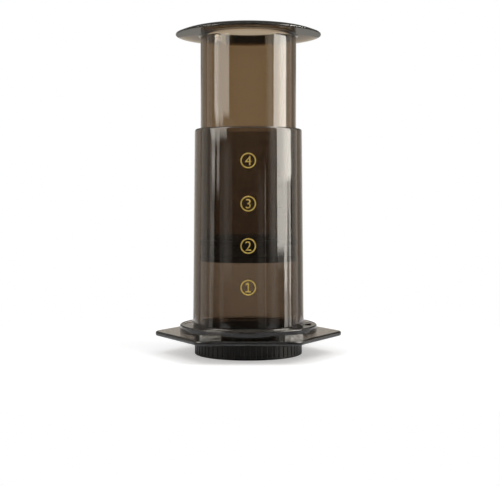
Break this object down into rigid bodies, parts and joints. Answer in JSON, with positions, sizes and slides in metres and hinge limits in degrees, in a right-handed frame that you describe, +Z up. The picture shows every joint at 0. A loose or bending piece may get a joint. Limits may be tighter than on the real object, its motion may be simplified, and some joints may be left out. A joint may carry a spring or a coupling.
{
  "type": "manual espresso maker",
  "caption": "Hand-pressed coffee maker: a hollow flanged plunger with a rubber seal slides in a tinted tube chamber with a hexagonal flange, over a perforated twist-lock filter cap.",
  "frame": {"origin": "centre of the box's underside: on the axis of the bore, at the plane that the filter cap's rim stands on", "axes": "+Z up along the axis of the bore, -Y towards the side with the printed figures, +X and -X through two corners of the hexagonal flange"},
  "size_m": [0.1118, 0.099, 0.1953],
  "materials": {
    "chamber_plastic": "clear smoke-brown copolyester, polished",
    "plunger_plastic": "clear smoke-brown copolyester, polished",
    "seal_rubber": "matte black moulded rubber",
    "cap_plastic": "black polypropylene, fine satin",
    "filter_paper": "thin white filter paper"
  },
  "bodies": {
    "chamber": {"chamber": "chamber_plastic"},
    "seal": {"plunger_seal": "seal_rubber"},
    "plunger": {"plunger": "plunger_plastic"},
    "cap": {"filter_cap": "cap_plastic", "paper_filter": "filter_paper"}
  },
  "joints": [
    {"name": "plunger_stroke", "type": "slide", "parent": "chamber", "child": "seal", "axis": [0, 0, 1], "range_m": [-0.0502, 0.11]},
    {"name": "plunger_turn", "type": "hinge", "parent": "seal", "child": "plunger", "pos_m": [0, 0, 0.0686], "axis": [0, 0, 1], "continuous": true},
    {"name": "cap_twist", "type": "hinge", "parent": "chamber", "child": "cap", "pos_m": [0, 0, 0.0145], "axis": [0, 0, -1], "range_deg": [0, 45]}
  ]
}
